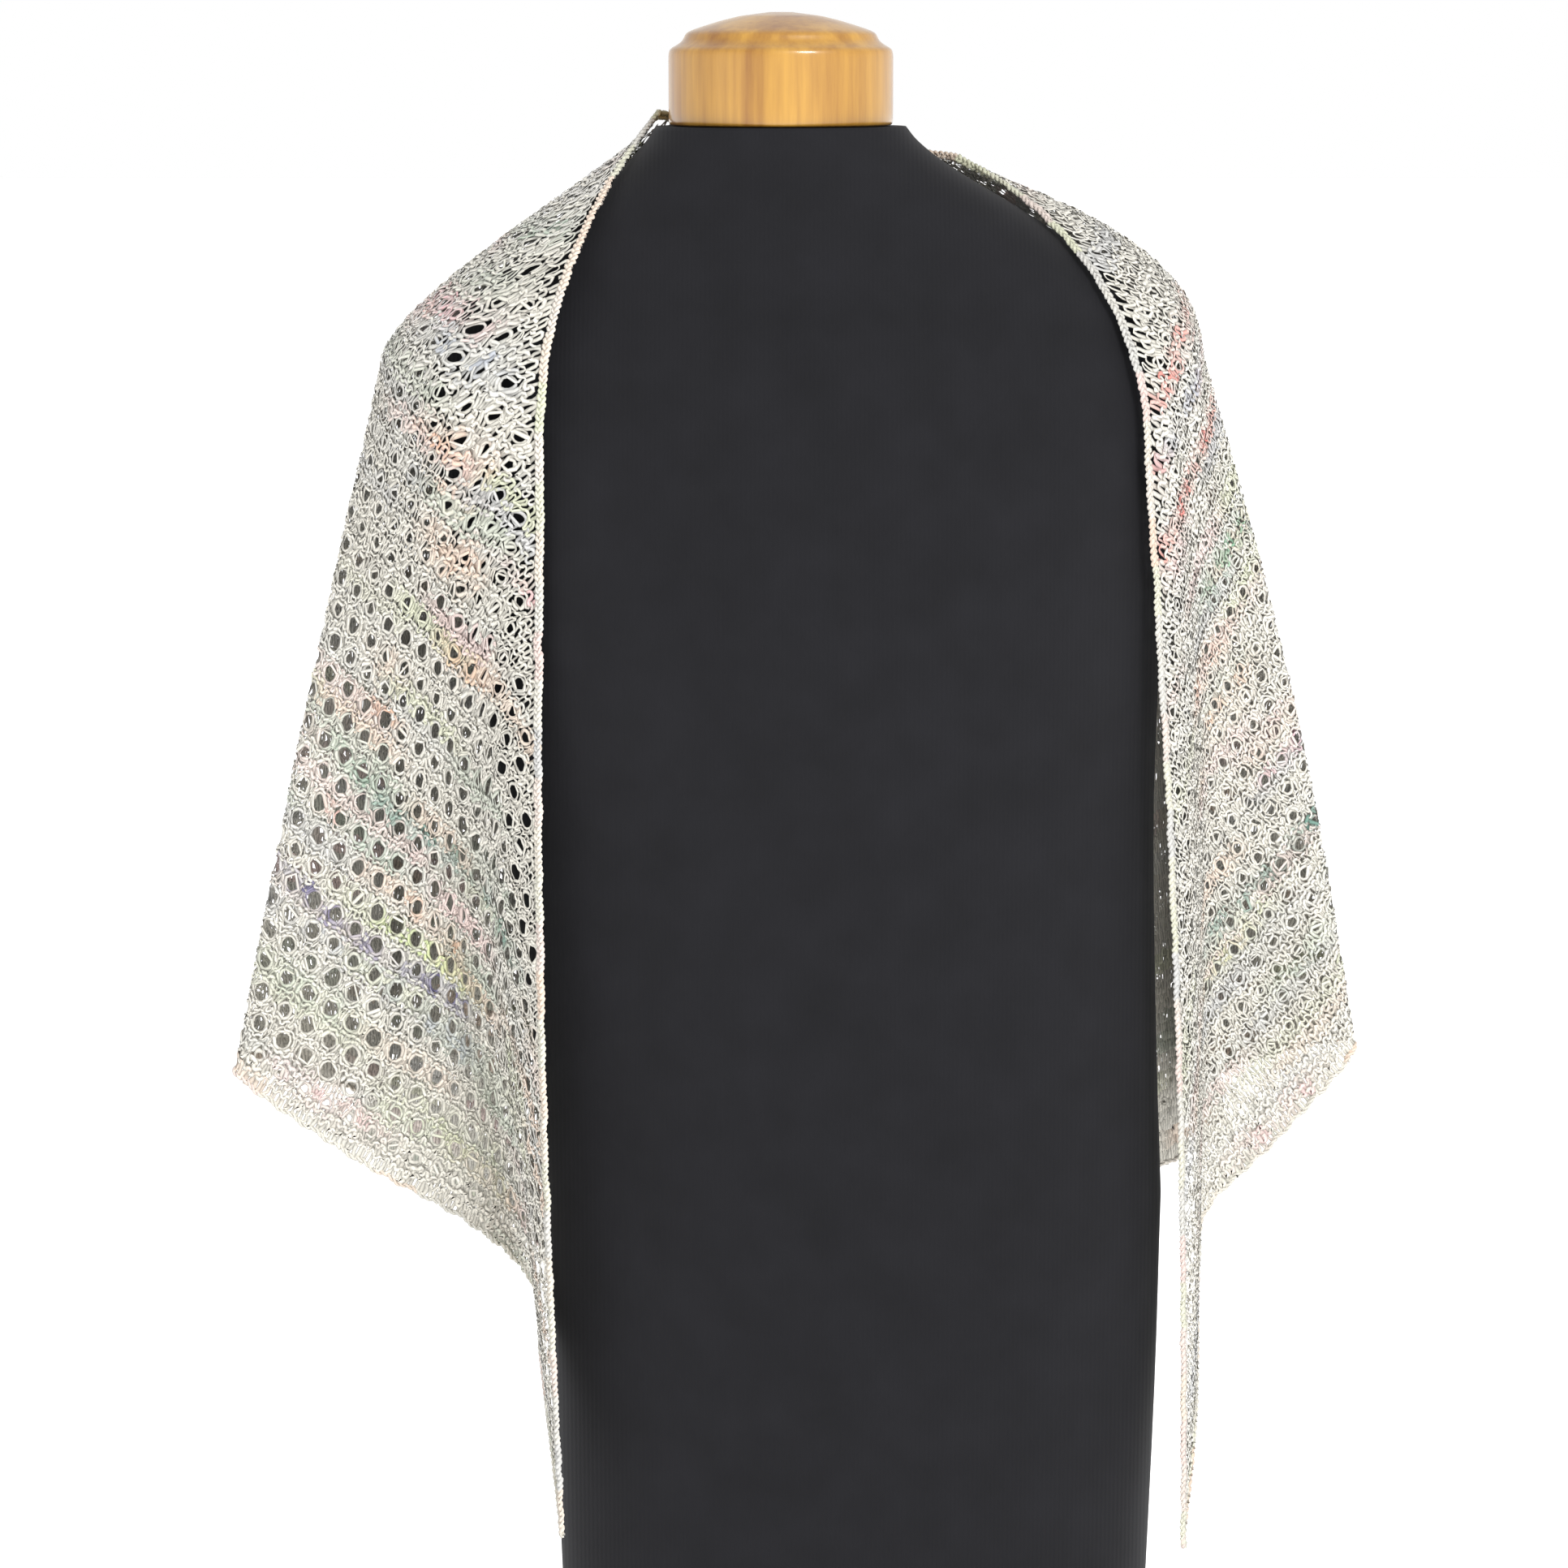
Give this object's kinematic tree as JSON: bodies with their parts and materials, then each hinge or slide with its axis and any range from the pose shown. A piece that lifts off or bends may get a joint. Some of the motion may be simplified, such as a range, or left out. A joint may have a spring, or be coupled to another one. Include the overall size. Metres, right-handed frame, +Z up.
{
  "type": "knitted lace shawl on a dress form",
  "caption": "Triangular openwork knitted shawl draped open over the shoulders of a limbless dress form with a turned wooden neck cap, on a short column and round base.",
  "frame": {"origin": "centre of the object's box, on the surface that the base stands on", "axes": "+Z up; the open front of the shawl faces -Y; +X is to the right seen from the front"},
  "size_m": [0.5823, 0.2904, 0.936],
  "materials": {
    "lace_knit": "openwork knit in fine handspun yarn, off-white with soft pastel streaks",
    "chain_edge": "slipped chain selvedge in the same yarn",
    "cast_off_edge": "thin cast-off edge in the same yarn",
    "form_cover": "plain black jersey, stretched smooth",
    "varnished_wood": "turned, honey-coloured, glossy varnish"
  },
  "bodies": {
    "root": {"shawl_lace": "lace_knit", "neck_edge": "chain_edge", "hem_edge": "cast_off_edge", "form_body": "form_cover", "neck_cap": "varnished_wood", "stand_column": "varnished_wood", "stand_base": "varnished_wood"}
  },
  "joints": []
}
